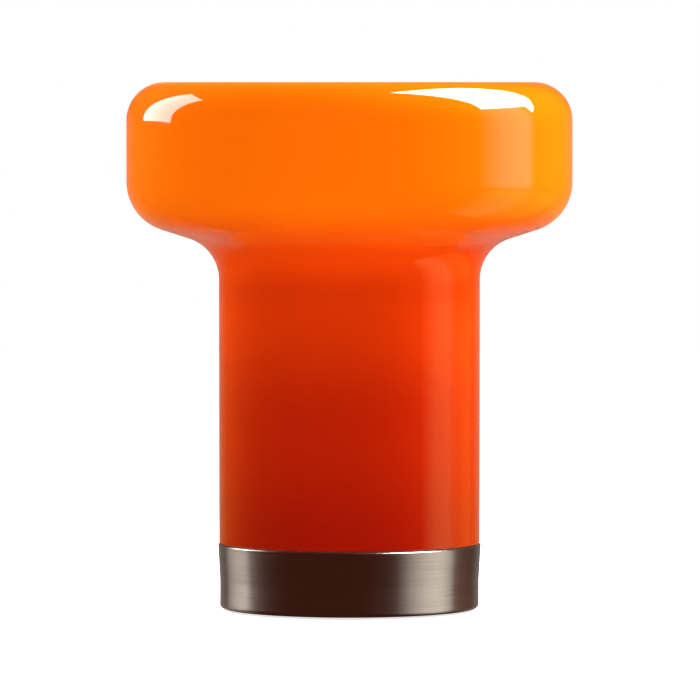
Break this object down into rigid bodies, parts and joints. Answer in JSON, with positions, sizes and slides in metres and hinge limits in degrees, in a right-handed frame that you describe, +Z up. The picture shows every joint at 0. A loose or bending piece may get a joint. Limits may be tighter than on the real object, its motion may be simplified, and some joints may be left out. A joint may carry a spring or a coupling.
{
  "type": "table lamp",
  "caption": "Table lamp with a one-piece blown-glass shade, wide flat-topped head on a straight neck, seated in a low brushed-metal foot ring over a weighted base and screw lampholder.",
  "frame": {"origin": "on the table, on the lamp's axis, level with the underside of the rubber feet", "axes": "+Z up along the lamp's axis, +Y to the back, where the cord goes in, +X to the right seen from the front"},
  "size_m": [0.2186, 0.2186, 0.259],
  "materials": {
    "cased_glass": "glossy orange glass over an opal lining",
    "brushed_ring": "brushed round its axis",
    "zinc_steel": "bright zinc plate",
    "cast_iron": "rough sand-cast, blackened",
    "white_enamel": "white powder coat",
    "seat_rubber": "translucent silicone",
    "nickel_sleeve": "satin nickel plate",
    "phenolic": "moulded, half gloss",
    "porcelain": "glazed porcelain",
    "contact_brass": "stamped, bright",
    "bulb_metal": "rolled, bright",
    "bulb_vitrite": "black fused glass",
    "opal_glass": "opal, satin",
    "bush_nylon": "moulded, fine grain",
    "foot_rubber": "moulded, matt",
    "spring_steel": "rolled strip, bare"
  },
  "bodies": {
    "base": {"base_ring": "brushed_ring", "base_plate": "zinc_steel", "ballast_weight": "cast_iron", "deck_plate": "white_enamel", "base_screws": "zinc_steel", "deck_screws": "zinc_steel", "lip_screws": "zinc_steel", "glass_seat": "seat_rubber", "stem_tube": "zinc_steel", "stem_washer": "zinc_steel", "stem_nut": "zinc_steel", "stem_sleeve": "nickel_sleeve", "holder_cap": "phenolic", "holder_grub_screw": "zinc_steel", "holder_insert": "porcelain", "terminal_screws": "contact_brass", "centre_contact": "contact_brass", "screw_shell": "contact_brass", "holder_sleeve": "phenolic", "cord_bush": "bush_nylon", "bush_nut": "zinc_steel", "rubber_foot_1": "foot_rubber", "rubber_foot_2": "foot_rubber", "rubber_foot_3": "foot_rubber", "rubber_foot_4": "foot_rubber", "deck_spacer_1": "zinc_steel", "deck_spacer_2": "zinc_steel", "deck_spacer_3": "zinc_steel", "glass_spring_1": "spring_steel", "glass_spring_2": "spring_steel", "glass_spring_3": "spring_steel"},
    "glass": {"glass_shade": "cased_glass"},
    "bulb_tip": {"bulb_contact": "bulb_metal"},
    "bulb": {"bulb_insulator": "bulb_vitrite", "bulb_cap": "bulb_metal", "bulb_glass": "opal_glass"}
  },
  "joints": [
    {"name": "glass_lift", "type": "slide", "parent": "base", "child": "glass", "axis": [0, 0, 1], "range_m": [0, 0.215]},
    {"name": "bulb_rise", "type": "slide", "parent": "base", "child": "bulb_tip", "axis": [0, 0, 1], "range_m": [0, 0.0164]},
    {"name": "bulb_turn", "type": "hinge", "parent": "bulb_tip", "child": "bulb", "pos_m": [0, 0, 0.1278], "axis": [0, 0, 1], "range_deg": [0, 1620]}
  ],
  "couplings": [
    {"joint": "bulb_rise", "follows": "bulb_turn", "m_per_rad": 0.0005775}
  ]
}
